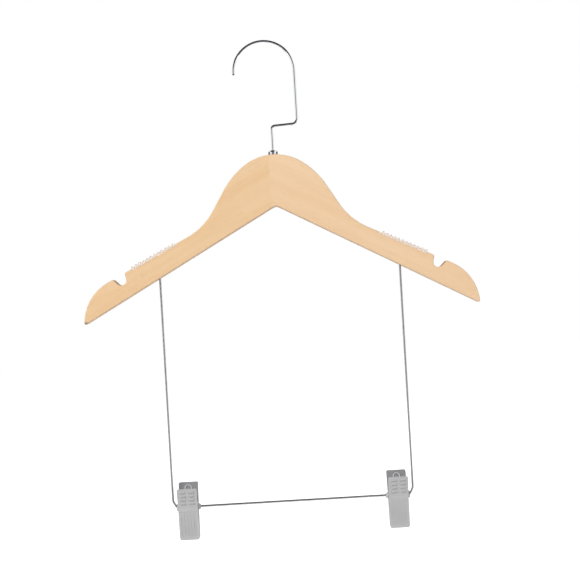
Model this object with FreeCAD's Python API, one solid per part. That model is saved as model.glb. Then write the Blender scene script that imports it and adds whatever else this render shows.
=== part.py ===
import FreeCAD, Part
import math
import os

V = FreeCAD.Vector

# A skirt hanger: a wooden shoulder with a swivelling hook, a drop frame of wire and two sliding clips.
# Millimetres and degrees. +X is to the right and +Z up, and the front looks along -Y.
# The origin is where the hook's swivel axis meets the underside of the hook, so a rail bears there.

# Hook, one bent wire
hook_wire_d = 2.5
hook_arc_r = 27.4
hook_arc_shift = 4.2
hook_drop = 101.4
hook_run_height = 26.0
hook_run_rise = 1.2
hook_elbow_r = 3.0
hook_knee_r = 4.5
hook_tip_angle = 91.0
hook_head_d = 4.6
hook_head_h = 1.6
hook_head_chamfer = 0.4

# Ferrule in the crest
ferrule_collar_d = 8.4
ferrule_collar_h = 4.2
ferrule_neck_d = 8.0
ferrule_dome = 0.13
ferrule_sleeve_d = 6.0
ferrule_sleeve_len = 15.0
ferrule_ring_count = 3
ferrule_ring_depth = 0.35
ferrule_ring_width = 1.2
spot_face_depth = 0.5

# Wooden shoulder
arm_thickness = 12.0
half_width = 178.0
crest_height = 46.0
underside_angle = 28.8
crown_r = 45.5
crown_angle = 34.4
haunch_r = 70.0
flank_angle = 58.8
flank_len = 21.5
sweep_r = 58.0
shoulder_angle = 26.3
nose_r = 41.8
tip_r = 1.3
apex_r = 5.0
edge_round = 1.1
finger_count = 4
finger_len = 8.0

# Strap notches
notch_r = 4.5
notch_from_tip = 35.4
notch_sink = 4.9
notch_inner_lean = 13.0
notch_outer_lean = 45.0
notch_lip_r = 1.8

# Shoulder grips
grip_width = 11.0
grip_base = 1.5
grip_tooth_h = 2.0
grip_tooth_pitch = 3.8
grip_tooth_land = 0.9
grip_end_flat = 1.9
grip_tongue_w = 2.4
grip_tongue_h = 3.6
grip_to_notch = 5.0
grip_to_sweep = 10.0

# Drop frame, one bent wire
frame_wire_d = 2.0
frame_half_span = 108.4
frame_insert = 13.0
bar_below_crest = 312.6
corner_run = 3.2
corner_rise = 5.6
corner_upper_r = 6.0
corner_lower_r = 2.2

# Clips
clip_width = 17.7
thumb_front_h = 17.8
thumb_rear_h = 20.6
thumb_splay = 15.0
jaw_reach = 29.3
jaw_wall = 2.0
jaw_inner_y = 3.9
jaw_tip_wall = 1.7
jaw_belly = 0.7
step_below = 3.3
step_depth = 0.5
mouth_top = 16.5
thumb_corner_r = 1.4
tip_corner_r = 1.9
ear_thickness = 1.3
ear_wall = 1.3
ear_rise = 5.5
ear_fall = 7.5

# Raised dashes on the thumb plates and flutes on the jaws
dash_len = 5.2
dash_h = 2.4
dash_ridge_len = 4.2
dash_ridge_h = 0.5
dash_ridge_lift = 0.65
dash_proud = 1.1
dash_column_gap = 2.5
dash_pitch = 3.64
dash_rows = 4
dash_from_top = 3.5
flute_count = 5
flute_width = 1.7
flute_pitch = 2.9
flute_depth = 0.36
flute_from_step = 1.6
flute_from_tip = 3.5

# Hinge bush, with a flared flange at the corner of the wire, and its tapered cap
bush_d = 4.0
bush_bore_d = 2.8
flange_d = 6.4
flange_len = 1.2
flare_d = 5.0
cap_tip_d = 3.6
cap_len = 2.3
cap_seat_len = 1.2

# Double torsion spring
spring_wire_d = 0.8
spring_pitch = 1.32
spring_turns = 2
spring_leg_len = 12.5
spring_bail_len = 19.8
spring_bail_w = 5.8

# Gripping pads
pad_w = 13.0
pad_h = 11.0
pad_from_tip = 1.3
pad_recess = 0.6
pad_rib_count = 5
pad_rib_h = 0.5
pad_rib_land = 0.66

# Clearances
swivel_clearance = 0.06
glue_clearance = 0.03
side_clearance = 0.2
pad_gap = 0.3
spring_clearance = 0.25
end_clearance = 0.3
bend_clearance = 0.1

# Levels that follow from the sizes above
hook_inner_r = hook_arc_r - hook_wire_d / 2
hook_centre_z = -math.sqrt(hook_inner_r ** 2 - hook_arc_shift ** 2)
hook_upright_x = hook_arc_r - hook_arc_shift
crest_z = -hook_drop
apex_z = crest_z - crest_height
bar_z = crest_z - bar_below_crest
bar_end_x = frame_half_span - corner_run - corner_lower_r * math.tan(math.atan2(corner_rise, corner_run) / 2)
flange_x = clip_width / 2 + side_clearance
clip_x = bar_end_x - bend_clearance - flange_x

# How far a found edge may lie from the place looked at
search_reach = 0.05

solids = {}


def sin(angle):
    return math.sin(math.radians(angle))


def cos(angle):
    return math.cos(math.radians(angle))


def tan(angle):
    return math.tan(math.radians(angle))


def xz(x, z):
    return V(x, 0, z)


def line(start, end):
    return Part.LineSegment(start, end).toShape()


def arc_xz(centre, r, start_angle, end_angle):
    # An arc in the XZ plane, with angles counted from +Z towards +X
    angles = [start_angle, (start_angle + end_angle) / 2, end_angle]
    points = [centre + xz(r * sin(a), r * cos(a)) for a in angles]
    return Part.Arc(*points).toShape()


def prism(edges, along):
    # A closed outline pushed along a vector
    return Part.Face(Part.Wire(edges)).extrude(along)


def polygon(points):
    closed = points + points[:1]
    return [line(a, b) for a, b in zip(closed, closed[1:])]


def bowed(start, end, bulge):
    # An arc from start to end whose middle stands off the chord by a vector
    return Part.Arc(start, (start + end) / 2 + bulge, end).toShape()


def stadium(length, width):
    # A bar with round ends, in the XZ plane and lying along X
    r = width / 2
    run = length / 2 - r
    return [
        line(xz(-run, r), xz(run, r)),
        Part.Arc(xz(run, r), xz(run + r, 0), xz(run, -r)).toShape(),
        line(xz(run, -r), xz(-run, -r)),
        Part.Arc(xz(-run, -r), xz(-run - r, 0), xz(-run, r)).toShape(),
    ]


def box(low, high):
    size = high - low
    return Part.makeBox(size.x, size.y, size.z, low)


def rounded_path(points, radii):
    # Straight runs joined by tangent arcs, one radius for each inner point
    edges = []
    start = points[0]
    for before, corner, after, r in zip(points, points[1:], points[2:], radii):
        back = (before - corner).normalize()
        ahead = (after - corner).normalize()
        half_angle = back.getAngle(ahead) / 2
        reach = r / math.tan(half_angle)
        bisector = (back + ahead).normalize()
        centre = corner + bisector * (r / math.sin(half_angle))
        arc_start = corner + back * reach
        arc_end = corner + ahead * reach
        edges.append(line(start, arc_start))
        edges.append(Part.Arc(arc_start, centre - bisector * r, arc_end).toShape())
        start = arc_end
    edges.append(line(start, points[-1]))
    return edges


def wire_tube(edges, d):
    # A round wire bent along a smooth path
    path = Part.Wire(edges)
    start = path.Edges[0].Vertexes[0].Point
    tangent = path.Edges[0].tangentAt(path.Edges[0].FirstParameter)
    section = Part.Wire(Part.makeCircle(d / 2, start, tangent))
    shell = Part.BRepOffsetAPI.MakePipeShell(path)
    shell.add(section)
    shell.build()
    shell.makeSolid()
    return shell.shape()


def mirror_x(shape):
    return shape.mirror(V(0, 0, 0), V(1, 0, 0))


def mirror_y(shape):
    return shape.mirror(V(0, 0, 0), V(0, 1, 0))


# Hook
def make_hook():
    centre = xz(-hook_arc_shift, hook_centre_z)
    sleeve_end = crest_z - spot_face_depth - ferrule_sleeve_len
    head_top = sleeve_end - end_clearance
    run_z = crest_z + hook_run_height
    corners = [
        xz(0, head_top),
        xz(0, run_z),
        xz(hook_upright_x, run_z + hook_run_rise),
        xz(hook_upright_x, hook_centre_z),
    ]
    path = rounded_path(corners, [hook_elbow_r, hook_knee_r])
    path.append(arc_xz(centre, hook_arc_r, 90, -hook_tip_angle))
    wire = wire_tube(path, hook_wire_d)
    tip = centre + xz(-hook_arc_r * sin(hook_tip_angle), hook_arc_r * cos(hook_tip_angle))
    tip_ball = Part.makeSphere(hook_wire_d / 2, tip)
    head = Part.makeCylinder(hook_head_d / 2, hook_head_h, xz(0, head_top - hook_head_h))
    head = head.makeChamfer(hook_head_chamfer, head.Edges)
    return wire.fuse([tip_ball, head]).removeSplitter()


# Ferrule, turned on the swivel axis
def make_ferrule():
    seat = crest_z - spot_face_depth
    collar_r = ferrule_collar_d / 2
    neck_r = ferrule_neck_d / 2
    sleeve_r = ferrule_sleeve_d / 2
    bore_r = hook_wire_d / 2 + swivel_clearance
    top = seat + ferrule_collar_h
    shoulder = seat + ferrule_collar_h / 2
    outline = [
        line(xz(bore_r, seat - ferrule_sleeve_len), xz(sleeve_r, seat - ferrule_sleeve_len)),
        line(xz(sleeve_r, seat - ferrule_sleeve_len), xz(sleeve_r, seat)),
        line(xz(sleeve_r, seat), xz(collar_r, seat)),
        line(xz(collar_r, seat), xz(collar_r, shoulder)),
        bowed(xz(collar_r, shoulder), xz(neck_r, top), xz(ferrule_dome, ferrule_dome)),
        line(xz(neck_r, top), xz(bore_r, top)),
        line(xz(bore_r, top), xz(bore_r, seat - ferrule_sleeve_len)),
    ]
    ferrule = Part.Face(Part.Wire(outline)).revolve(V(0, 0, 0), V(0, 0, 1), 360)
    ring_pitch = ferrule_sleeve_len / (ferrule_ring_count + 1)
    for ring in range(1, ferrule_ring_count + 1):
        low = xz(0, seat - ring * ring_pitch - ferrule_ring_width / 2)
        outer = Part.makeCylinder(ferrule_sleeve_d, ferrule_ring_width, low)
        inner = Part.makeCylinder(sleeve_r - ferrule_ring_depth, ferrule_ring_width, low)
        ferrule = ferrule.cut(outer.cut(inner))
    return ferrule


# The right side of the shoulder's outline, from the crown to the point under the hook
def shoulder_start():
    crown_end = xz(crown_r * sin(crown_angle), crest_z - crown_r + crown_r * cos(crown_angle))
    haunch_centre = crown_end - xz(haunch_r * sin(crown_angle), haunch_r * cos(crown_angle))
    flank_top = haunch_centre + xz(haunch_r * sin(flank_angle), haunch_r * cos(flank_angle))
    flank_end = flank_top + xz(flank_len * cos(flank_angle), -flank_len * sin(flank_angle))
    sweep_centre = flank_end + xz(sweep_r * sin(flank_angle), sweep_r * cos(flank_angle))
    start = sweep_centre - xz(sweep_r * sin(shoulder_angle), sweep_r * cos(shoulder_angle))
    edges = [
        arc_xz(haunch_centre, haunch_r, crown_angle, flank_angle),
        line(flank_top, flank_end),
        arc_xz(sweep_centre, sweep_r, flank_angle + 180, shoulder_angle + 180),
    ]
    return start, edges


shoulder_point, crest_edges = shoulder_start()


def shoulder_z(x):
    return shoulder_point.z - (x - shoulder_point.x) * tan(shoulder_angle)


def underside_z(x):
    return apex_z - x * tan(underside_angle)


def nose_end(centre):
    # Where the round nose meets the underside
    slope = -tan(underside_angle)
    offset = apex_z + slope * centre.x - centre.z
    a = 1 + slope ** 2
    b = slope * offset
    c = offset ** 2 - nose_r ** 2
    run = (-b + math.sqrt(b ** 2 - a * c)) / a
    return xz(centre.x + run, underside_z(centre.x + run))


def right_outline():
    nose_x = half_width - nose_r
    nose_centre = xz(nose_x, shoulder_z(nose_x) - nose_r / cos(shoulder_angle))
    nose_start = nose_centre + xz(nose_r * sin(shoulder_angle), nose_r * cos(shoulder_angle))
    tip = nose_end(nose_centre)
    tip_angle = math.degrees(math.atan2(tip.x - nose_centre.x, tip.z - nose_centre.z))
    return tip, crest_edges + [
        line(shoulder_point, nose_start),
        arc_xz(nose_centre, nose_r, shoulder_angle, tip_angle),
        line(tip, xz(0, apex_z)),
    ]


notch_x = half_width - notch_from_tip
notch_z = shoulder_z(notch_x) - notch_sink


def notch_cutter():
    # A round-bottomed strap notch whose mouth leans outwards
    centre = xz(notch_x, notch_z)
    reach = 4 * notch_r
    inner_foot = centre + xz(-notch_r * cos(notch_inner_lean), notch_r * sin(notch_inner_lean))
    outer_foot = centre + xz(notch_r * cos(notch_outer_lean), -notch_r * sin(notch_outer_lean))
    inner_top = inner_foot + xz(sin(notch_inner_lean), cos(notch_inner_lean)) * reach
    outer_top = outer_foot + xz(sin(notch_outer_lean), cos(notch_outer_lean)) * reach
    low_angle = 180 + (notch_inner_lean + notch_outer_lean) / 4
    bottom = centre + xz(notch_r * sin(low_angle), notch_r * cos(low_angle))
    outline = [
        line(inner_top, inner_foot),
        Part.Arc(inner_foot, bottom, outer_foot).toShape(),
        line(outer_foot, outer_top),
        line(outer_top, inner_top),
    ]
    cutter = prism(outline, V(0, 2 * arm_thickness, 0))
    cutter.translate(V(0, -arm_thickness, 0))
    return cutter


# Shoulder grips lie along the sloping edge, in a frame of their own: x along the edge, z away from the wood
notch_mouth_x = notch_x - notch_r
grip_room = (notch_mouth_x - shoulder_point.x) / cos(shoulder_angle) - grip_to_notch - grip_to_sweep
grip_tooth_count = int((grip_room - grip_end_flat) / grip_tooth_pitch)
grip_len = grip_tooth_count * grip_tooth_pitch + grip_end_flat
grip_mid_x = notch_mouth_x - (grip_to_notch + grip_len / 2) * cos(shoulder_angle)


def onto_shoulder(shape):
    shape.rotate(V(0, 0, 0), V(0, 1, 0), shoulder_angle)
    shape.translate(xz(grip_mid_x, shoulder_z(grip_mid_x)))
    return shape


def kerf_cutter():
    # A shallow rebate right across the edge, for the strip, and a narrow kerf in it, for the tongue
    half_len = grip_len / 2 + glue_clearance
    half_w = grip_tongue_w / 2 + glue_clearance
    floor = -grip_base - glue_clearance
    rebate = box(V(-half_len, -arm_thickness, floor), V(half_len, arm_thickness, grip_tooth_h))
    kerf = box(V(-half_len, -half_w, floor - grip_tongue_h), V(half_len, half_w, grip_tooth_h))
    return onto_shoulder(rebate.fuse(kerf))


def make_grip():
    # One saw-toothed strip with a tongue that sits in the kerf
    left = -grip_len / 2
    profile = [xz(left, -grip_base), xz(left, 0)]
    for tooth in range(grip_tooth_count):
        x = left + grip_end_flat + tooth * grip_tooth_pitch
        profile.append(xz(x, 0))
        profile.append(xz(x + grip_tooth_pitch / 2 - grip_tooth_land / 2, grip_tooth_h))
        profile.append(xz(x + grip_tooth_pitch / 2 + grip_tooth_land / 2, grip_tooth_h))
    profile.append(xz(-left, 0))
    profile.append(xz(-left, -grip_base))
    strip = prism(polygon(profile), V(0, grip_width, 0))
    strip.translate(V(0, -grip_width / 2, 0))
    low = -grip_base - grip_tongue_h
    tongue = box(V(left, -grip_tongue_w / 2, low), V(-left, grip_tongue_w / 2, -grip_base))
    return onto_shoulder(strip.fuse(tongue).removeSplitter())


def edges_along_y(shape, spots):
    # The straight edges through the board that stand at the given places
    found = []
    for edge in shape.Edges:
        middle = edge.CenterOfMass
        low, high = edge.BoundBox.YMin, edge.BoundBox.YMax
        if high - low < arm_thickness / 2:
            continue
        for spot in spots:
            if math.hypot(middle.x - spot.x, middle.z - spot.z) < search_reach:
                found.append(edge)
    return found


def notch_lips(shape):
    # The two mouth edges of each notch are the highest straight edges near it
    found = []
    for edge in shape.Edges:
        middle = edge.CenterOfMass
        along = edge.BoundBox.YMax - edge.BoundBox.YMin
        near = abs(abs(middle.x) - notch_x) < 3 * notch_r
        on_shoulder = abs(middle.z - shoulder_z(abs(middle.x))) < search_reach
        if along > arm_thickness / 2 and near and on_shoulder:
            found.append(edge)
    return found


# The whole wooden board, before it is parted into its two halves
def make_board():
    tip, right_edges = right_outline()
    left_edges = [mirror_x(edge) for edge in right_edges]
    crown = arc_xz(xz(0, crest_z - crown_r), crown_r, -crown_angle, crown_angle)
    outline = Part.sortEdges([crown] + right_edges + left_edges)[0]
    board = prism(outline, V(0, arm_thickness, 0))
    board.translate(V(0, -arm_thickness / 2, 0))
    notch = notch_cutter()
    board = board.cut([notch, mirror_x(notch)])
    board = board.makeFillet(notch_lip_r, notch_lips(board))
    tips = [tip, xz(-tip.x, tip.z)]
    board = board.makeFillet(tip_r, edges_along_y(board, tips))
    board = board.makeFillet(apex_r, edges_along_y(board, [xz(0, apex_z)]))
    half = arm_thickness / 2
    rims = [e for e in board.Edges if all(abs(abs(v.Y) - half) < 1e-6 for v in e.Vertexes)]
    rims = [e for e in rims if e.BoundBox.YMax - e.BoundBox.YMin < half]
    board = board.makeFillet(edge_round, rims)
    return bore_board(board)


def bore_board(board):
    # Bores for the ferrule and the frame's wire, and the rebates and kerfs for the grips
    bore_len = spot_face_depth + ferrule_sleeve_len + 2 * end_clearance + hook_head_h
    bore_r = ferrule_sleeve_d / 2 + glue_clearance
    ferrule_bore = Part.makeCylinder(bore_r, bore_len + crest_height, xz(0, crest_z - bore_len))
    seat_r = ferrule_collar_d / 2 + glue_clearance
    spot_face = Part.makeCylinder(seat_r, crest_height, xz(0, crest_z - spot_face_depth))
    wire_r = frame_wire_d / 2 + glue_clearance
    wire_top = underside_z(frame_half_span) + frame_insert + end_clearance
    wire_bore = Part.makeCylinder(wire_r, wire_top - bar_z, xz(frame_half_span, bar_z))
    kerf = kerf_cutter()
    cutters = [ferrule_bore, spot_face, wire_bore, mirror_x(wire_bore), kerf, mirror_x(kerf)]
    return board.cut(cutters)


def comb_half(direction):
    # One side of the comb joint: every second finger crosses the middle
    layer = arm_thickness / finger_count
    far = 2 * half_width * direction
    fingers = []
    for index in range(finger_count):
        root_x = finger_len / 2 if index % 2 else -finger_len / 2
        front = -arm_thickness / 2 + index * layer
        low_x, high_x = min(root_x, far), max(root_x, far)
        fingers.append(box(V(low_x, front, bar_z), V(high_x, front + layer, 0)))
    return fingers[0].fuse(fingers[1:]).removeSplitter()


board = make_board()
solids["left_arm"] = board.common(comb_half(-1))
solids["right_arm"] = board.common(comb_half(1))
solids["hook"] = make_hook()
solids["hook_ferrule"] = make_ferrule()
solids["right_shoulder_grip"] = make_grip()
solids["left_shoulder_grip"] = mirror_x(solids["right_shoulder_grip"])


# Drop frame
def make_frame():
    wire_top = underside_z(frame_half_span) + frame_insert
    right = [
        xz(frame_half_span - corner_run, bar_z),
        xz(frame_half_span, bar_z + corner_rise),
        xz(frame_half_span, wire_top),
    ]
    left = [xz(-p.x, p.z) for p in reversed(right)]
    radii = [corner_upper_r, corner_lower_r, corner_lower_r, corner_upper_r]
    return wire_tube(rounded_path(left + right, radii), frame_wire_d)


solids["drop_frame"] = make_frame()

# Clips are made about the bar as their X axis, with the rear jaw on +Y, and moved to their places at the end
front_ear_x = clip_width / 2 - ear_thickness
rear_ear_x = front_ear_x - side_clearance - ear_thickness
ear_r = bush_d / 2 + swivel_clearance + ear_wall
jaw_outer_y = jaw_inner_y + jaw_wall
pad_back_y = pad_gap / 2 + pad_rib_h + pad_recess + pad_recess
mouth_y = pad_back_y - pad_recess
tip_y = mouth_y + jaw_tip_wall


def yz(y, z):
    return V(0, y, z)


def thumb_point(face_y, height):
    # A point on the splayed thumb plate's inner or outer face
    return yz(face_y + height * tan(thumb_splay), height)


def jaw_curve(inset):
    # The bowed outer face of a jaw below its step
    top = yz(jaw_outer_y - step_depth - inset, -step_below)
    bottom = yz(tip_y - inset, -jaw_reach)
    return bowed(top, bottom, yz(jaw_belly, 0)), top, bottom


def across(edges, width):
    # A side profile pushed to a width across the clip, centred on its middle
    shape = prism(edges, V(width, 0, 0))
    shape.translate(V(-width / 2, 0, 0))
    return shape


def jaw_body(thumb_h):
    curve, curve_top, curve_bottom = jaw_curve(0)
    profile = [
        line(thumb_point(jaw_inner_y, thumb_h), thumb_point(jaw_outer_y, thumb_h)),
        line(thumb_point(jaw_outer_y, thumb_h), yz(jaw_outer_y, 0)),
        line(yz(jaw_outer_y, 0), yz(jaw_outer_y, -step_below)),
        line(yz(jaw_outer_y, -step_below), curve_top),
        curve,
        line(curve_bottom, yz(mouth_y, -jaw_reach)),
        line(yz(mouth_y, -jaw_reach), yz(mouth_y, -mouth_top)),
        line(yz(mouth_y, -mouth_top), yz(jaw_inner_y, -step_below)),
        line(yz(jaw_inner_y, -step_below), yz(jaw_inner_y, 0)),
        line(yz(jaw_inner_y, 0), thumb_point(jaw_inner_y, thumb_h)),
    ]
    return across(profile, clip_width)


def rounded_plate(width, low, high, low_r, high_r, depth):
    # A plate seen from the front with rounded corners, pushed back along +Y
    half = width / 2
    corners = [xz(0, low), xz(half, low), xz(half, high), xz(-half, high), xz(-half, low), xz(0, low)]
    edges = rounded_path(corners, [low_r, high_r, high_r, low_r])
    return prism(edges, V(0, depth, 0))


def ear(inner_x):
    # A lug round the bush, carried by a web from the jaw's plate
    web_y = jaw_inner_y + jaw_wall / 2
    web = polygon([
        yz(0, ear_r),
        yz(web_y + ear_rise * tan(thumb_splay), ear_rise),
        yz(web_y, 0),
        yz(mouth_y + jaw_tip_wall, -ear_fall),
        yz(0, -ear_r),
    ])
    web = prism(web, V(ear_thickness, 0, 0))
    lug = Part.makeCylinder(ear_r, ear_thickness, V(0, 0, 0), V(1, 0, 0))
    side = web.fuse(lug)
    side.translate(V(inner_x, 0, 0))
    return side


def thumb_dash():
    # One raised dash, steep above and sloping off below, with a root that goes into the plate
    foot = Part.Wire(stadium(dash_len, dash_h))
    root = foot.translated(V(0, -dash_proud / 2, 0))
    ridge = Part.Wire(stadium(dash_ridge_len, dash_ridge_h))
    ridge.translate(V(0, dash_proud, dash_ridge_lift))
    return Part.makeLoft([root, foot, ridge], True, True)


def thumb_dashes(thumb_h):
    # Two columns of dashes that lie on the thumb plate
    dashes = []
    plate_len = thumb_h / cos(thumb_splay)
    bar = thumb_dash()
    bar.rotate(V(0, 0, 0), V(1, 0, 0), -thumb_splay)
    for row in range(dash_rows):
        up = plate_len - dash_from_top - row * dash_pitch
        place = yz(jaw_outer_y + up * sin(thumb_splay), up * cos(thumb_splay))
        for column in (-1, 1):
            middle = column * (dash_column_gap + dash_len) / 2
            dash = bar.copy()
            dash.translate(place + V(middle, 0, 0))
            dashes.append(dash)
    return dashes


def flute_cutters():
    # Round-ended grooves down the jaw, all of one depth under its bowed face
    curve, top, bottom = jaw_curve(flute_depth)
    outside = 2 * jaw_outer_y
    skin = across(
        [curve, line(bottom, yz(outside, bottom.z)), line(yz(outside, bottom.z), yz(outside, top.z)),
         line(yz(outside, top.z), top)],
        clip_width,
    )
    low = -jaw_reach + flute_from_tip
    high = -step_below - flute_from_step
    first = -(flute_count - 1) / 2 * flute_pitch
    slots = []
    for index in range(flute_count):
        slot = prism(stadium(high - low, flute_width), V(0, outside, 0))
        slot.rotate(V(0, 0, 0), V(0, 1, 0), 90)
        slot.translate(V(first + index * flute_pitch, 0, (low + high) / 2))
        slots.append(skin.common(slot))
    return slots


def make_jaw(thumb_h, ear_x):
    body = jaw_body(thumb_h)
    ears = [ear(ear_x), mirror_x(ear(ear_x))]
    jaw = body.fuse(ears + thumb_dashes(thumb_h))
    face = rounded_plate(clip_width, -jaw_reach, thumb_h, tip_corner_r, thumb_corner_r, 4 * jaw_outer_y)
    face.translate(V(0, -2 * jaw_outer_y, 0))
    jaw = jaw.common(face)
    bore_r = bush_d / 2 + swivel_clearance
    bore = Part.makeCylinder(bore_r, 2 * clip_width, V(-clip_width, 0, 0), V(1, 0, 0))
    low = -jaw_reach + pad_from_tip - glue_clearance
    high = -jaw_reach + pad_from_tip + pad_h + glue_clearance
    half = pad_w / 2 + glue_clearance
    seat = box(V(-half, 0, low), V(half, pad_back_y + glue_clearance, high))
    return jaw.cut([bore, seat] + flute_cutters()).removeSplitter()


def make_pad():
    # A soft pad with ribs across its gripping face
    low = -jaw_reach + pad_from_tip
    rib_pitch = pad_h / pad_rib_count
    root_y = pad_gap / 2 + pad_rib_h
    profile = [yz(pad_back_y, low + pad_h), yz(pad_back_y, low), yz(root_y, low)]
    for index in range(pad_rib_count):
        crest = low + (index + 0.5) * rib_pitch
        profile.append(yz(pad_gap / 2, crest - pad_rib_land / 2))
        profile.append(yz(pad_gap / 2, crest + pad_rib_land / 2))
        profile.append(yz(root_y, low + (index + 1) * rib_pitch))
    return across(polygon(profile), pad_w)


# Hinge bush and cap, turned on the bar's axis
flange_tip_x = flange_x + flange_len
cap_tip_x = flange_x + cap_len
cap_seat_x = flange_x + cap_seat_len


def xy(x, y):
    return V(x, y, 0)


def turned(points):
    return Part.Face(Part.Wire(polygon(points))).revolve(V(0, 0, 0), V(1, 0, 0), 360)


def make_bush():
    return turned([
        xy(-cap_seat_x, bush_bore_d / 2),
        xy(-cap_seat_x, bush_d / 2),
        xy(flange_x, bush_d / 2),
        xy(flange_x, flange_d / 2),
        xy(flange_tip_x, flange_d / 2),
        xy(flange_tip_x, flare_d / 2),
        xy(flange_x, bush_bore_d / 2),
    ])


def make_cap():
    seat_r = bush_d / 2 + glue_clearance
    return turned([
        xy(-flange_x, seat_r),
        xy(-flange_x, flange_d / 2),
        xy(-cap_tip_x, cap_tip_d / 2),
        xy(-cap_tip_x, bush_bore_d / 2),
        xy(-cap_seat_x - glue_clearance, bush_bore_d / 2),
        xy(-cap_seat_x - glue_clearance, seat_r),
    ])


# Double torsion spring, one wire: front leg, coil, arched bail, coil, front leg
spring_r = jaw_inner_y * cos(thumb_splay) - spring_clearance - spring_wire_d / 2
coil_start_x = rear_ear_x - end_clearance - spring_wire_d / 2


def arc_between(start, pull, end):
    # The arc from start to end whose end tangents meet at pull
    middle = (start + end) / 2
    height = (pull - middle).Length
    half_chord = (end - start).Length / 2
    sagitta = half_chord * math.tan(math.atan2(height, half_chord) / 2)
    return Part.Arc(start, middle + (pull - middle) * (sagitta / height), end).toShape()


def biarc(start, start_way, end, end_way):
    # Two tangent arcs that leave start and reach end in the given directions
    span = end - start
    ways = start_way + end_way
    a = 2 * (1 - start_way.dot(end_way))
    b = 2 * span.dot(ways)
    c = -span.dot(span)
    reach = -2 * c / (b + math.sqrt(b ** 2 - 4 * a * c))
    first_pull = start + start_way * reach
    last_pull = end - end_way * reach
    joint = (first_pull + last_pull) / 2
    return [arc_between(start, first_pull, joint), arc_between(joint, last_pull, end)]


def coil_point(angle, x):
    return V(x, spring_r * cos(angle), spring_r * sin(angle))


def coil_way(angle, climb):
    return V(climb, -sin(angle), cos(angle)).normalize()


def spring_side():
    # The side on -X, from the free end of the front leg to the foot of the bail
    first_angle = 180 + thumb_splay
    last_angle = 360 * spring_turns + 360 - thumb_splay
    half_count = 2 * spring_turns + 1
    step = (last_angle - first_angle) / half_count
    advance = spring_pitch * step / 360
    climb = spring_pitch / (2 * math.pi * spring_r)
    leg_foot = coil_point(first_angle, -coil_start_x)
    leg_end = leg_foot + V(0, -sin(thumb_splay), cos(thumb_splay)) * spring_leg_len
    edges = [line(leg_end, leg_foot)]
    point, way = leg_foot, coil_way(first_angle, 0)
    for index in range(1, half_count + 1):
        angle = first_angle + index * step
        next_point = coil_point(angle, -coil_start_x + index * advance)
        next_way = coil_way(angle, 0 if index == half_count else climb)
        edges += biarc(point, way, next_point, next_way)
        point, way = next_point, next_way
    return edges, point, way


def least_gap(path, d):
    # The smallest space between turns, measured on points that are apart along the wire
    spacing = d / 2
    points = path.discretize(Distance=spacing)
    skip = int(2 * math.pi * d / spacing)
    gaps = []
    for index, point in enumerate(points):
        for other in points[index + skip:]:
            gaps.append(point.distanceToPoint(other))
    return min(gaps) - d


def make_spring():
    left, foot, way = spring_side()
    root = V(0, foot.y, foot.z)
    crown = root + way * spring_bail_len
    shoulder = crown - way * (spring_bail_w / 2) - V(spring_bail_w / 2, 0, 0)
    left += biarc(foot, way, shoulder, way)
    right = [mirror_x(edge) for edge in reversed(left)]
    bail = Part.Arc(shoulder, crown, V(-shoulder.x, shoulder.y, shoulder.z)).toShape()
    edges = Part.sortEdges(left + [bail] + right)[0]
    print("spring: least gap to itself %.2f mm" % least_gap(Part.Wire(edges), spring_wire_d))
    return wire_tube(edges, spring_wire_d)


def make_clip():
    pad = make_pad()
    return {
        "hinge_bush": make_bush(),
        "bush_cap": make_cap(),
        "rear_jaw": make_jaw(thumb_rear_h, rear_ear_x),
        "front_jaw": mirror_y(make_jaw(thumb_front_h, front_ear_x)),
        "clip_spring": make_spring(),
        "rear_pad": pad,
        "front_pad": mirror_y(pad),
    }


for piece, shape in make_clip().items():
    right = shape.copy()
    right.translate(xz(clip_x, bar_z))
    solids["right_" + piece] = right
    solids["left_" + piece] = mirror_x(right)

os.makedirs("parts", exist_ok=True)
for node, shape in solids.items():
    solid = shape.Solids[0] if len(shape.Solids) == 1 else shape
    solid.exportStep("parts/%s.step" % node)
    print("%-20s solids %d  valid %s  volume %.1f mm3" % (node, len(shape.Solids), shape.isValid(), shape.Volume))
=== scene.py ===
# %% [markdown]
# # A skirt hanger, dressed for its photograph
# The CAD model already gives the wood, the wires and the clips their true shapes. This lesson keeps those
# solids as they are, gives each its real finish, and models afresh the soft pieces: the clear ribbed grips
# and the pads inside the jaws. Each spring is a welded copy of its CAD wire.

import math

import bpy
from mathutils import Matrix, Vector


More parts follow.
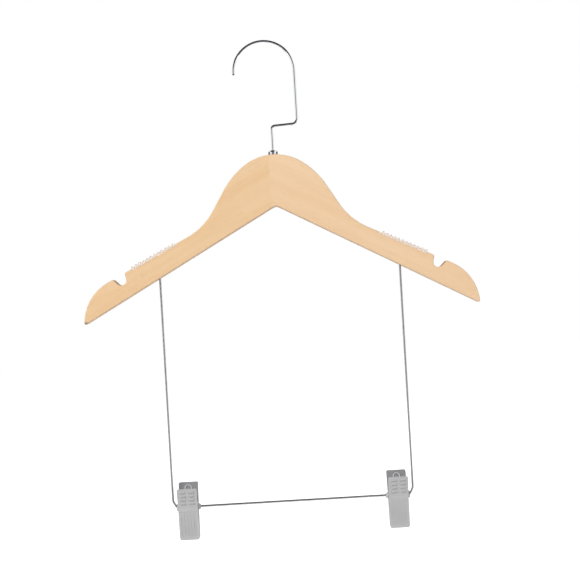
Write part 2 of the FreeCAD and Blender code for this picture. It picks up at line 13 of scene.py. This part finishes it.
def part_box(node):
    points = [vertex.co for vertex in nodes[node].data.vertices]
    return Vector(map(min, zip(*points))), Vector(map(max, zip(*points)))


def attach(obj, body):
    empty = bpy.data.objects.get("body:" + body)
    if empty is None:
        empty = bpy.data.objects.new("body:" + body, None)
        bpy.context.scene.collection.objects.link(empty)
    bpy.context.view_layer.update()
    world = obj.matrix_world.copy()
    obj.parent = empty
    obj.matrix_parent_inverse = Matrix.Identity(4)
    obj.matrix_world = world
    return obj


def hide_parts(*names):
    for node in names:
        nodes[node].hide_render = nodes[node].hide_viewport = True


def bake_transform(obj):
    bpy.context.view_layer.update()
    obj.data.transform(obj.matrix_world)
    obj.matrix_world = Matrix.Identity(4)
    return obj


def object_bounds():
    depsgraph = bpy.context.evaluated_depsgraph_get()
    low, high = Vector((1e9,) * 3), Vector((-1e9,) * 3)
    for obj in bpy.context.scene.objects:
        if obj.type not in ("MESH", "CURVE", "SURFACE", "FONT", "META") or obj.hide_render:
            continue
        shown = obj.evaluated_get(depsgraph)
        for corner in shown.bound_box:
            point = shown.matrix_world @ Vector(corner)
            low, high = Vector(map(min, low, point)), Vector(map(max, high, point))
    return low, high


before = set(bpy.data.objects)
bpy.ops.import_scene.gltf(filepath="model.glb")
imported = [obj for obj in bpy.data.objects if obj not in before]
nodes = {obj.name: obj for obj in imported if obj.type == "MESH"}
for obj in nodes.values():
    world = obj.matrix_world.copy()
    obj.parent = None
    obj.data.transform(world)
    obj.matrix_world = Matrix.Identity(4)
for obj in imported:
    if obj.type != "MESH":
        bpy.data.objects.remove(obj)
cad_low, cad_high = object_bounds()
mm = 0.001
sides = {"left": -1, "right": 1}


def in_mm(lengths, digits=1):
    # Metres as rounded millimetres, for printing
    return [round(length / mm, digits) for length in lengths]


print("CAD nodes:", len(nodes), "in a box of", in_mm(cad_high - cad_low), "mm")

# %% [markdown]
# ## The camera
# The hanger was photographed straight on, so the camera looks along +Y at the height of the middle of the
# picture. Two facts fix it: how many millimetres one pixel covers on the plane of the wires, and which pixel
# shows the crotch, the wood's inner corner under the hook. The hanger hangs a little askew, so the camera is
# rolled instead of the part.

# %% Camera
photo_px = 580
pixel = 0.9028 * mm
camera_distance = 950 * mm
camera_roll = math.radians(3.35)
sensor_width = 36
crotch = Vector((0, 0, -148.85 * mm))
crotch_px = (276.2, 207.5)

right_way = Vector((math.cos(camera_roll), 0, -math.sin(camera_roll)))
up_way = Vector((math.sin(camera_roll), 0, math.cos(camera_roll)))
right_by = (crotch_px[0] - photo_px / 2) * pixel
up_by = (photo_px / 2 - crotch_px[1]) * pixel
eye = crotch - right_way * right_by - up_way * up_by - Vector((0, camera_distance, 0))

bpy.ops.object.camera_add(location=eye, rotation=(math.pi / 2, camera_roll, 0))
camera = bpy.context.object
camera.name = "photo_camera"
camera.data.sensor_width = sensor_width
camera.data.lens = sensor_width * camera_distance / (photo_px * pixel)
bpy.context.scene.camera = camera
bpy.context.scene.view_settings.view_transform = "Standard"
print("camera at", in_mm(eye), "mm, lens", round(camera.data.lens, 1), "mm")

# %% [markdown]
# ## Colours and nodes
# Colours are picked as sRGB hex values, as a painter would read them from a screen, and the shaders work in
# linear light, so one function turns one into the other. A second function adds a node, sets it and links
# it. A few short ones build on it, for the steps that every finish repeats.

# %% Colour and node helpers
def linear(hex_colour):
    # An sRGB hex value as the linear colour that shaders work in
    channels = [int(hex_colour[i:i + 2], 16) / 255 for i in (1, 3, 5)]
    return [*(c / 12.92 if c <= 0.04045 else ((c + 0.055) / 1.055) ** 2.4 for c in channels), 1.0]


def add(tree, kind, inputs=None, **settings):
    # One node with its settings, whose inputs are plain values or the outputs of other nodes
    made = tree.nodes.new("ShaderNode" + kind)
    for key, value in settings.items():
        setattr(made, key, value)
    for key, value in (inputs or {}).items():
        if isinstance(value, bpy.types.NodeSocket):
            tree.links.new(value, made.inputs[key])
        else:
            made.inputs[key].default_value = value
    return made


def ramp(tree, value, given=(0, 1), wanted=(0, 1)):
    # Stretches one range of a value to another
    return add(tree, "MapRange", {
        "Value": value, "From Min": given[0], "From Max": given[1], "To Min": wanted[0], "To Max": wanted[1],
    }).outputs[0]


def noise(tree, place, size, detail, roughness=0.5):
    # Soft blotches of about one size
    return add(tree, "TexNoise", {
        "Vector": place, "Scale": 1 / size, "Detail": detail, "Roughness": roughness,
    }).outputs[0]


def calculate(tree, operation, *values):
    # One step of arithmetic
    return add(tree, "Math", dict(enumerate(values)), operation=operation).outputs[0]


def mix(tree, share, under, over):
    # A share of one colour over another
    return add(tree, "Mix", {0: share, 6: under, 7: over}, data_type="RGBA").outputs[2]


def near(tree, place, point, inner, outer, most):
    # The most round one point, which fades to nothing between two distances
    away = add(tree, "VectorMath", {0: place, 1: point}, operation="DISTANCE")
    return ramp(tree, away.outputs["Value"], (inner, outer), (most, 0))


def new_finish(name):
    # An empty material and its node tree
    material = bpy.data.materials.new(name)
    material.use_nodes = True
    material.node_tree.nodes.clear()
    return material, material.node_tree


def close_finish(tree, inputs):
    # The shader that each finish of the hanger ends in
    surface = add(tree, "BsdfPrincipled", inputs)
    add(tree, "OutputMaterial", {"Surface": surface.outputs[0]})


white = linear("#FFFFFF")
print("white is", white[:3])

# %% [markdown]
# ## The studio
# The background is plain white. The world shows white to the camera and in reflections, and lights the
# object at a lower level, dimmer from below. A floor well under the hanger catches its shadow. Chrome in an
# all white room would vanish, so dark cards, which only reflections see, stand in for the dim ceiling, the
# dim ends of the room before and behind the hanger and a grey mat on the floor. Wires that lie across the
# view then turn dark, and upright ones stay light with a dark core. Two small flags beside the ferrule
# darken its sides in the same way. The lamps leave no burnt spots on the chrome, because reflections don't
# see them. Floor and cards glow only for what is seen, so they are left out of the sampling of lamps,
# which saves noise.

# %% World
dim_slope, bright_slope = -0.5, 0.8
light_below, light_above = 0.2, 0.42

world = bpy.data.worlds.new("white_studio")
bpy.context.scene.world = world
world.use_nodes = True
sky = world.node_tree
sky.nodes.clear()


def seen_rays(tree):
    # One for what is seen directly, in a reflection or through glass, and none for light on a surface
    ray = add(tree, "LightPath").outputs
    seen = calculate(tree, "MAXIMUM", ray["Is Camera Ray"], ray["Is Glossy Ray"])
    return calculate(tree, "MAXIMUM", seen, ray["Is Transmission Ray"])


rise = add(sky, "SeparateXYZ", {0: add(sky, "TexCoord").outputs["Generated"]})
level = ramp(sky, rise.outputs["Z"], (dim_slope, bright_slope), (light_below, light_above))
soft_light = add(sky, "Background", {"Color": white, "Strength": level})
white_wall = add(sky, "Background", {"Color": white, "Strength": 1.0})
shown = add(sky, "MixShader", {0: seen_rays(sky), 1: soft_light.outputs[0], 2: white_wall.outputs[0]})
add(sky, "OutputWorld", {"Surface": shown.outputs[0]})
print("world nodes:", len(sky.nodes))

# %% Floor
floor_size = 14
floor_level = cad_low.z - 300 * mm
floor_lift = 0.82

bpy.ops.mesh.primitive_plane_add(size=floor_size, location=(0, 0, floor_level))
floor = bpy.context.object
floor.name = "studio_floor"
floor_white, tree = new_finish("matt_white_paper")
floor_white.cycles.emission_sampling = "NONE"
paper = add(tree, "BsdfDiffuse", {"Color": linear("#C4C4C4")})
lift = calculate(tree, "MULTIPLY", seen_rays(tree), floor_lift)
glow = add(tree, "Emission", {"Color": white, "Strength": lift})
lifted = add(tree, "AddShader", {0: paper.outputs[0], 1: glow.outputs[0]})
add(tree, "OutputMaterial", {"Surface": lifted.outputs[0]})
floor.data.materials.append(floor_white)
print("floor at", round(floor_level / mm), "mm")

# %% Dark cards for the chrome
def dark_card(name, shade, place, turn, width, length):
    # A flat card that only reflections see, in one even shade
    paint, tree = new_finish(f"{name}_paint")
    paint.cycles.emission_sampling = "NONE"
    even = add(tree, "Emission", {"Color": linear(shade), "Strength": 1.0})
    add(tree, "OutputMaterial", {"Surface": even.outputs[0]})
    bpy.ops.mesh.primitive_plane_add(size=1, location=place, rotation=turn)
    card = bpy.context.object
    card.name = name
    card.scale = (width, length, 1)
    card.data.materials.append(paint)
    card.visible_camera = False
    card.visible_diffuse = False
    card.visible_transmission = False
    card.visible_shadow = False
    print("card:", card.name, width, "by", length, "m")


room_end = 2.5
room_middle = -0.2
mat_level = floor_level + 10 * mm
ferrule_level = -99.5 * mm
flag_gap = 20 * mm
lying = (0, 0, 0)
tilted = (math.radians(15), 0, 0)
facing_front = (math.pi / 2, 0, 0)
facing_side = (0, math.pi / 2, 0)

dark_card("ceiling_card", "#202026", place=(-0.4, -0.16, 0.97), turn=tilted, width=3.0, length=3.8)
for name, way in {"camera_side_card": -1, "far_side_card": 1}.items():
    dark_card(name, "#7E7E84", (0, way * room_end, room_middle), facing_front, width=3.0, length=2.0)
dark_card("floor_card", "#4C4C52", place=(0, -1.3, mat_level), turn=lying, width=3.0, length=1.9)
for side, way in sides.items():
    flag_place = (way * flag_gap, flag_gap, ferrule_level)
    dark_card(f"{side}_flag", "#5E564E", flag_place, facing_side, width=10 * mm, length=52 * mm)

# %% Lamps
def soft_box(name, place, size, power):
    # A square area lamp aimed at the middle of the hanger
    aim = (cad_low + cad_high) / 2 - Vector(place)
    turn = aim.to_track_quat("-Z", "Y").to_euler()
    bpy.ops.object.light_add(type="AREA", location=place, rotation=turn)
    lamp = bpy.context.object
    lamp.name = name
    lamp.data.size = size
    lamp.data.energy = power
    lamp.visible_glossy = False
    print("lamp:", lamp.name, power, "W")


soft_box("key_softbox", place=(-1.9, -2.45, 1.25), size=1.3, power=81)
soft_box("fill_softbox", place=(1.9, -1.8, 0.1), size=1.4, power=12)
soft_box("back_softbox", place=(1.8, 2.6, 0.9), size=1.6, power=60)

# %% [markdown]
# ## Lacquered wood
# Each half of the shoulder is sawn from a beech board with its grain along the arm, sanded, and given a
# clear satin lacquer. The eye gets a warm pale tan with soft streaks, fine growth lines and short brown
# flecks. The rings of the tree are true cylinders round an axis in the arm's direction, so the lines also
# run round the edges as they do on sawn wood. On the milled edges, where the surface turns from the faces,
# a darker brown is painted in as shade. Where the cutter left end grain, at the tips and in the notches, the
# wood is brown, partly its own end-grain tone and partly painted shade. The left tip's lower corner gets a
# spot of painted shade. Ring spacing and fleck size are drawn a little coarser than real, so they show.

# %% Wood grain
arm_lean = math.radians(27.5)
grain_stretch = 16
streak_width = 11 * mm
streak_span = (0.32, 0.68)
ring_spacing = 3.4 * mm
ring_share = 0.28
fleck_width = 0.8 * mm
fleck_span = (0.6, 0.74)
fleck_share = 0.22
fleck_colour = "#C99662"
wave_period = 2 * math.pi / 20


def beech_grain(tree, spot, lean, heart, pale, deep):
    # The grain's colour, and the flecks alone, which also set the gloss and the pores
    grain = add(tree, "Mapping", {
        "Vector": spot.outputs["Object"], "Location": heart, "Rotation": (0, lean, 0),
        "Scale": (grain_stretch, 1, 1),
    }, vector_type="TEXTURE")
    along = grain.outputs[0]
    streak = noise(tree, along, streak_width, detail=3.0, roughness=0.55)
    ring = add(tree, "TexWave", {
        "Vector": along, "Scale": wave_period / ring_spacing, "Distortion": 3.5, "Detail": 2.0,
        "Detail Scale": 0.6,
    }, wave_type="RINGS", rings_direction="X", wave_profile="SAW")
    ring = calculate(tree, "MULTIPLY", ring.outputs["Fac"], ring_share)
    fleck = noise(tree, along, fleck_width, detail=1.0)
    colour = mix(tree, ramp(tree, streak, streak_span), linear(pale), linear(deep))
    colour = mix(tree, ring, colour, linear(deep))
    colour = mix(tree, ramp(tree, fleck, fleck_span, (0, fleck_share)), colour, linear(fleck_colour))
    return colour, fleck


print("growth rings every", round(ring_spacing / mm, 1), "mm")

# %% Wood finish
painted_shade_edge_span = (0.4, 0.95)
painted_shade_edge_share = 0.3
painted_shade_edge_colour = "#B98A5A"
# Brown on end grain: partly its own tone, partly painted shade
end_grain_and_shade_span = (0.6, 1.0)
end_grain_and_shade_share = 0.75
end_grain_and_shade_colour = "#8E6742"
# The spot of painted shade at the left tip's lower corner
tip_shade_width = 3.2 * mm
tip_shade_share = 0.85
tip_shade_colour = "#5C4C38"
pore_depth = 0.05 * mm


def darken_edges(tree, spot, lean, colour):
    # Painted shade where the surface turns from the board's faces, and brown end grain, partly painted shade
    normal = spot.outputs["Normal"]
    turned = calculate(tree, "ABSOLUTE", add(tree, "SeparateXYZ", {0: normal}).outputs["Y"])
    along_arm = (math.cos(lean), 0, -math.sin(lean))
    across = add(tree, "VectorMath", {0: normal, 1: along_arm}, operation="DOT_PRODUCT")
    across = calculate(tree, "ABSOLUTE", across.outputs["Value"])
    # Painted shade on the milled edges, darker where the surface turns from the faces
    edge = ramp(tree, turned, painted_shade_edge_span, (painted_shade_edge_share, 0))
    # End grain brown, partly its own tone and partly painted shade
    end_grain_and_shade = ramp(tree, across, end_grain_and_shade_span, (0, end_grain_and_shade_share))
    colour = mix(tree, edge, colour, linear(painted_shade_edge_colour))
    return mix(tree, end_grain_and_shade, colour, linear(end_grain_and_shade_colour))


def lacquered_beech(name, pale, deep, lean, heart, shaded_tip=None):
    material, tree = new_finish(name)
    spot = add(tree, "TexCoord")
    colour, fleck = beech_grain(tree, spot, lean, heart, pale, deep)
    colour = darken_edges(tree, spot, lean, colour)
    # A spot of painted shade at the left tip's lower corner
    if shaded_tip:
        tip_shade = near(tree, spot.outputs["Object"], shaded_tip, tip_shade_width / 3, tip_shade_width, tip_shade_share)
        colour = mix(tree, tip_shade, colour, linear(tip_shade_colour))
    pores = add(tree, "Bump", {"Height": fleck, "Strength": 0.25, "Distance": pore_depth})
    close_finish(tree, {
        "Base Color": colour, "Roughness": ramp(tree, fleck, wanted=(0.38, 0.52)), "Normal": pores.outputs[0],
        "IOR": 1.5, "Coat Weight": 0.25, "Coat Roughness": 0.25,
    })
    return material


left_heart = (-30 * mm, 38 * mm, -172 * mm)
right_heart = (40 * mm, 46 * mm, -160 * mm)
left_points = [tuple(v.co) for v in nodes["left_arm"].data.vertices]
left_tip = min(left_points, key=lambda p: (round(p[2] / mm, 1), p[1]))
left_wood = lacquered_beech(
    "satin_lacquered_beech_left", "#F0CEA5", "#EAC395", -arm_lean, left_heart, shaded_tip=left_tip)
right_wood = lacquered_beech("satin_lacquered_beech_right", "#F3D3AD", "#EDC89E", arm_lean, right_heart)
print("wood:", left_wood.name, right_wood.name, "left tip at", in_mm(left_tip), "mm")

# %% [markdown]
# ## Metals
# The hook and its ferrule are bright chrome over polished steel: a mirror with a faint haze. The drop frame
# is drawn wire with a satin zinc plate, greyer and softer, with a slight mottle from the bath. The springs
# have a paler, dull nickel plate, whose fine crystals scatter light, so it is only partly metallic to the
# shader. A metal needs no pattern in its colour, so the detail is in its roughness. Only the hook's tip is
# dark: its colour turns to a dark grey over its last two millimetres.

# %% Metal finishes
haze_span = (0.3, 0.7)
dark_tip_length = 2.0 * mm
dark_tip_colour = "#4A4848"
tip_side_x = -20 * mm


def plated_metal(name, colour, rough, mottle, metallic=1.0, dark_end=None):
    material, tree = new_finish(name)
    place = add(tree, "TexCoord").outputs["Object"]
    haze = noise(tree, place, mottle, detail=4.0)
    shade = linear(colour)
    if dark_end:
        # Darker grey over the last two millimetres of the hook's tip
        dark_tip = near(tree, place, dark_end, dark_tip_length / 2, dark_tip_length, 1.0)
        shade = mix(tree, dark_tip, shade, linear(dark_tip_colour))
    close_finish(tree, {
        "Base Color": shade, "Metallic": metallic, "Roughness": ramp(tree, haze, haze_span, rough),
    })
    return material


tip_points = [tuple(v.co) for v in nodes["hook"].data.vertices if v.co.x < tip_side_x]
hook_tip = min(tip_points, key=lambda p: p[2])
chrome = plated_metal("bright_chrome_plate", "#E9EAEC", (0.04, 0.10), 5 * mm, dark_end=hook_tip)
zinc = plated_metal("satin_zinc_plate", "#CACACB", (0.46, 0.6), 2 * mm)
spring_steel = plated_metal("dull_nickel_spring_wire", "#F2F2F2", (0.5, 0.62), 1 * mm, metallic=0.4)
print("metals:", chrome.name, zinc.name, spring_steel.name, "hook tip at", in_mm(hook_tip), "mm")

# %% [markdown]
# ## Moulded grey
# Jaws, bushes and caps are injection-moulded ABS with a silver-grey pigment. The mould was spark-eroded, so
# the face is satin with a very fine grain, and the pigment flows a little unevenly. The rear jaws take a
# darker copy of the same grey, which paints in the shade that falls on them.

# %% Moulded finish
flow_size = 9 * mm
mould_grain = 0.45 * mm
mould_grain_depth = 0.03 * mm
plastic_ior = 1.53


def moulded_abs(name, pale, deep):
    material, tree = new_finish(name)
    place = add(tree, "TexCoord").outputs["Object"]
    flow = noise(tree, place, flow_size, detail=3.0)
    grit = noise(tree, place, mould_grain, detail=2.0)
    skin = add(tree, "Bump", {"Height": grit, "Strength": 0.2, "Distance": mould_grain_depth})
    close_finish(tree, {
        "Base Color": mix(tree, flow, linear(pale), linear(deep)),
        "Roughness": ramp(tree, grit, wanted=(0.36, 0.5)), "Normal": skin.outputs[0], "IOR": plastic_ior,
    })
    return material


grey_abs = moulded_abs("satin_grey_abs", "#C4C4C4", "#BABABB")
# The same grey, darker, as painted shade for the rear jaws
rear_jaw_shade_abs = moulded_abs("satin_grey_abs_painted_shade", "#949496", "#89898B")
print("mouldings:", grey_abs.name, rear_jaw_shade_abs.name)

# %% [markdown]
# ## Clear and soft vinyl
# The shoulder grips are clear soft vinyl, a little milky: part of the light goes through, and the ribs show
# by their bright and dark edges. The pads inside the jaws are the same stuff with a white filler, matt and
# slightly waxy.

# %% Vinyl finishes
cloud_size = 4 * mm


def new_vinyl(name):
    # An empty material, its node tree and the faint clouds that both kinds have
    material, tree = new_finish(name)
    place = add(tree, "TexCoord").outputs["Object"]
    return material, tree, noise(tree, place, cloud_size, detail=3.0)


def clear_vinyl(name, tint):
    material, tree, cloud = new_vinyl(name)
    close_finish(tree, {
        "Base Color": linear(tint), "Roughness": ramp(tree, cloud, wanted=(0.22, 0.36)), "IOR": plastic_ior,
        "Transmission Weight": 0.6,
    })
    return material


def filled_vinyl(name, pale, deep):
    material, tree, cloud = new_vinyl(name)
    close_finish(tree, {
        "Base Color": mix(tree, cloud, linear(pale), linear(deep)),
        "Roughness": ramp(tree, cloud, wanted=(0.55, 0.7)), "IOR": plastic_ior,
    })
    return material


grip_vinyl = clear_vinyl("clear_soft_vinyl", "#FCEEE2")
pad_vinyl = filled_vinyl("filled_soft_vinyl", "#CFCDC8", "#C2C0BB")
print("vinyl:", grip_vinyl.name, pad_vinyl.name)

# %% [markdown]
# ## Dress the solids that stay
# A CAD node keeps its mesh and only changes its material.

# %% Materials on the CAD nodes
finishes = {
    "left_arm": left_wood, "right_arm": right_wood, "hook": chrome, "hook_ferrule": chrome,
    "drop_frame": zinc,
}
for side in sides:
    # Rear jaws take the darker copy: painted shade
    finishes[f"{side}_rear_jaw"] = rear_jaw_shade_abs
    for piece in ("hinge_bush", "bush_cap", "front_jaw"):
        finishes[f"{side}_{piece}"] = grey_abs
for node, material in finishes.items():
    mesh = nodes[node].data
    mesh.materials.clear()
    mesh.materials.append(material)
print("dressed:", len(finishes), "nodes")

# %% [markdown]
# ## A ribbed strip
# Grips and pads are both strips with ribs across them. One rib starts as a box whose top face is drawn up
# and narrowed. An array joins it to the next ribs, one end is drawn out to a plain flat, and the open ends
# are filled. The hard edges are then rounded a little, because soft vinyl has none.

# %% One rib
straight = 0.99  # how far a normal points along an axis when its face lies square to it


def select_only(piece):
    bpy.ops.object.select_all(action="DESELECT")
    piece.select_set(True)
    bpy.context.view_layer.objects.active = piece


def pick(mesh, parts, wanted):
    # In edit mode, selects just the faces or edges that a test picks
    bpy.ops.mesh.select_all(action="DESELECT")
    bpy.ops.object.mode_set(mode="OBJECT")
    for part in getattr(mesh, parts):
        part.select = wanted(part)
    bpy.ops.object.mode_set(mode="EDIT")


def draw_out(x, y, z):
    # Extrudes what is selected
    bpy.ops.mesh.extrude_region_move(TRANSFORM_OT_translate={"value": (x, y, z)})


def one_rib(name, pitch, width, base, rib_h, land):
    # A box with a narrowed top, open at both ends, on X from 0 to the pitch
    bpy.ops.object.select_all(action="DESELECT")
    bpy.ops.mesh.primitive_cube_add(size=1, location=(pitch / 2, 0, base / 2))
    rib = bpy.context.object
    rib.name = name
    rib.scale = (pitch, width, base)
    bpy.ops.object.transform_apply(location=True, rotation=True, scale=True)
    bpy.ops.object.mode_set(mode="EDIT")
    bpy.ops.mesh.select_mode(type="FACE")
    pick(rib.data, "polygons", lambda face: face.normal.z > straight)
    draw_out(0, 0, rib_h)
    bpy.ops.transform.resize(value=(land / pitch, 1, 1), center_override=(pitch / 2, 0, 0))
    pick(rib.data, "polygons", lambda face: abs(face.normal.x) > straight)
    bpy.ops.mesh.delete(type="FACE")
    bpy.ops.object.mode_set(mode="OBJECT")
    return rib


print("the rib tools are ready")

# %% A strip of ribs
touching = 0.01 * mm
soft_segments = 3
hard_edge = math.radians(25)
smooth_limit = math.radians(40)


def close_ends(strip, end_flat):
    # Draws the end on -X out to a flat, then fills both open ends, and stays in edit mode
    points = strip.data.vertices
    bpy.ops.object.mode_set(mode="EDIT")
    bpy.ops.mesh.select_mode(type="EDGE")
    if end_flat:
        pick(strip.data, "edges", lambda edge: all(abs(points[i].co.x) < touching for i in edge.vertices))
        draw_out(-end_flat, 0, 0)
    bpy.ops.mesh.select_all(action="DESELECT")
    bpy.ops.mesh.select_non_manifold()
    bpy.ops.mesh.fill_holes(sides=0)


def ribbed_strip(name, pitch, count, width, base, rib_h, land, end_flat):
    # Lies along X about its middle, with its back at z = 0 and its ribs up
    strip = one_rib(name, pitch, width, base, rib_h, land)
    row = strip.modifiers.new("ribs", "ARRAY")
    row.count = count
    row.use_relative_offset = False
    row.use_constant_offset = True
    row.constant_offset_displace = (pitch, 0, 0)
    row.use_merge_vertices = True
    row.merge_threshold = pitch / 100
    bpy.ops.object.modifier_apply(modifier=row.name)
    close_ends(strip, end_flat)
    bpy.ops.mesh.select_all(action="SELECT")
    bpy.ops.transform.translate(value=((end_flat - pitch * count) / 2, 0, 0))
    bpy.ops.mesh.normals_make_consistent(inside=False)
    bpy.ops.object.mode_set(mode="OBJECT")
    return strip


def soften(strip, rounding):
    # Rounds the hard edges and shades the rest smooth
    edge = strip.modifiers.new("soft_edges", "BEVEL")
    edge.width = rounding
    edge.segments = soft_segments
    edge.limit_method = "ANGLE"
    edge.angle_limit = hard_edge
    select_only(strip)
    bpy.ops.object.modifier_apply(modifier=edge.name)
    bpy.ops.object.shade_smooth_by_angle(angle=smooth_limit)


def settle(strip, turned, place):
    # Puts a strip where it belongs and leaves its object at the origin
    select_only(strip)
    strip.matrix_world = Matrix.Translation(place) @ turned.to_4x4()
    bpy.ops.object.transform_apply(location=True, rotation=True, scale=True)


print("the strip tools are ready")

# %% [markdown]
# ## Shoulder grips
# Each sloping edge carries a clear strip with saw-like ribs. Its base is let into the wood, and a tongue
# under it sits in a saw cut. The place and the length come from the CAD strip, measured along the slope.

# %% Grips
shoulder_angle = math.radians(26.3)
grip_pitch = 3.8 * mm
grip_base = 1.5 * mm
grip_rib_h = 2.0 * mm
grip_land = 0.9 * mm
grip_end_flat = 1.9 * mm
tongue_w = 2.4 * mm
tongue_h = 3.6 * mm
grip_lift = 0.02 * mm
grip_rounding = 0.14 * mm


def add_tongue(strip):
    # Cuts the strip's back on both sides of the middle and draws the middle down
    bpy.ops.object.mode_set(mode="EDIT")
    bpy.ops.mesh.select_mode(type="FACE")
    for edge_y in (-tongue_w / 2, tongue_w / 2):
        pick(strip.data, "polygons", lambda face: face.normal.z < -straight)
        bpy.ops.mesh.bisect(plane_co=(0, edge_y, 0), plane_no=(0, 1, 0))
    pick(strip.data, "polygons",
         lambda face: face.normal.z < -straight and abs(face.center.y) < tongue_w / 2)
    draw_out(0, 0, -tongue_h)
    bpy.ops.object.mode_set(mode="OBJECT")


for side, way in sides.items():
    node = nodes[f"{side}_shoulder_grip"]
    slope = Vector((math.cos(shoulder_angle), 0, -way * math.sin(shoulder_angle)))
    out = Vector((way * math.sin(shoulder_angle), 0, math.cos(shoulder_angle)))
    along = [slope.dot(v.co) for v in node.data.vertices]
    deep = [out.dot(v.co) for v in node.data.vertices]
    length = max(along) - min(along)
    low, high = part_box(node.name)
    ribs = round((length - grip_end_flat) / grip_pitch)
    grip = ribbed_strip(f"{side}_grip_strip", grip_pitch, ribs, high.y - low.y, grip_base - grip_lift,
                        grip_rib_h, grip_land, grip_end_flat)
    add_tongue(grip)
    soften(grip, grip_rounding)
    turned = Matrix((slope * way, Vector((0, way, 0)), out)).transposed()
    seat = slope * (max(along) + min(along)) / 2 + out * (min(deep) + tongue_h + grip_lift)
    settle(grip, turned, seat)
    grip.data.materials.append(grip_vinyl)
    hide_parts(node.name)
    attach(grip, "shoulder")
    print(grip.name, ribs, "ribs,", round(length / mm, 1), "mm,", len(grip.data.polygons), "faces")

# %% [markdown]
# ## Gripping pads
# A thin ribbed pad sits in a recess in each jaw's tip. It only shows when a clip is open, from the side or
# from below, but there the ribs are what holds the cloth.

# %% Pads
pad_ribs = 5
pad_rib_h = 0.5 * mm
pad_land = 0.66 * mm
pad_rounding = 0.12 * mm

for side in sides:
    for jaw, face_way in {"rear": -1, "front": 1}.items():
        node = nodes[f"{side}_{jaw}_pad"]
        low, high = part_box(node.name)
        size = high - low
        pad = ribbed_strip(f"{side}_{jaw}_grip_pad", size.z / pad_ribs, pad_ribs, size.x,
                           size.y - pad_rib_h, pad_rib_h, pad_land, end_flat=0)
        soften(pad, pad_rounding)
        turned = Matrix(((0, 0, 1), (face_way, 0, 0), (0, face_way, 0))).transposed()
        back_y = low.y if face_way > 0 else high.y
        settle(pad, turned, Vector(((low.x + high.x) / 2, back_y, (low.z + high.z) / 2)))
        pad.data.materials.append(pad_vinyl)
        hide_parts(node.name)
        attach(pad, f"{side}_clip_{jaw}")
        print(pad.name, in_mm(size, 2), "mm,", len(pad.data.polygons), "faces")

# %% [markdown]
# ## Springs
# Each spring is one wire: two coils round the bush, two short legs on the front jaw and an arched bail on
# the rear one. When the clip opens, the legs go with the front jaw and the coils wind tighter. Here a copy of
# the CAD wire takes the place of the CAD node: its points are welded, it is shaded smooth and it gets the
# nickel finish.

# %% Springs
weld_gap = 0.001 * mm

for side in sides:
    node = nodes[f"{side}_clip_spring"]
    low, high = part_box(f"{side}_hinge_bush")
    spring = bpy.data.objects.new(f"{side}_spring_wire", node.data.copy())
    bpy.context.scene.collection.objects.link(spring)
    select_only(spring)
    bpy.ops.object.mode_set(mode="EDIT")
    bpy.ops.mesh.select_all(action="SELECT")
    bpy.ops.mesh.remove_doubles(threshold=weld_gap)
    bpy.ops.object.mode_set(mode="OBJECT")
    bpy.ops.object.shade_smooth_by_angle(angle=smooth_limit)
    spring.data.materials.clear()
    spring.data.materials.append(spring_steel)
    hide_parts(node.name)
    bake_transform(spring)
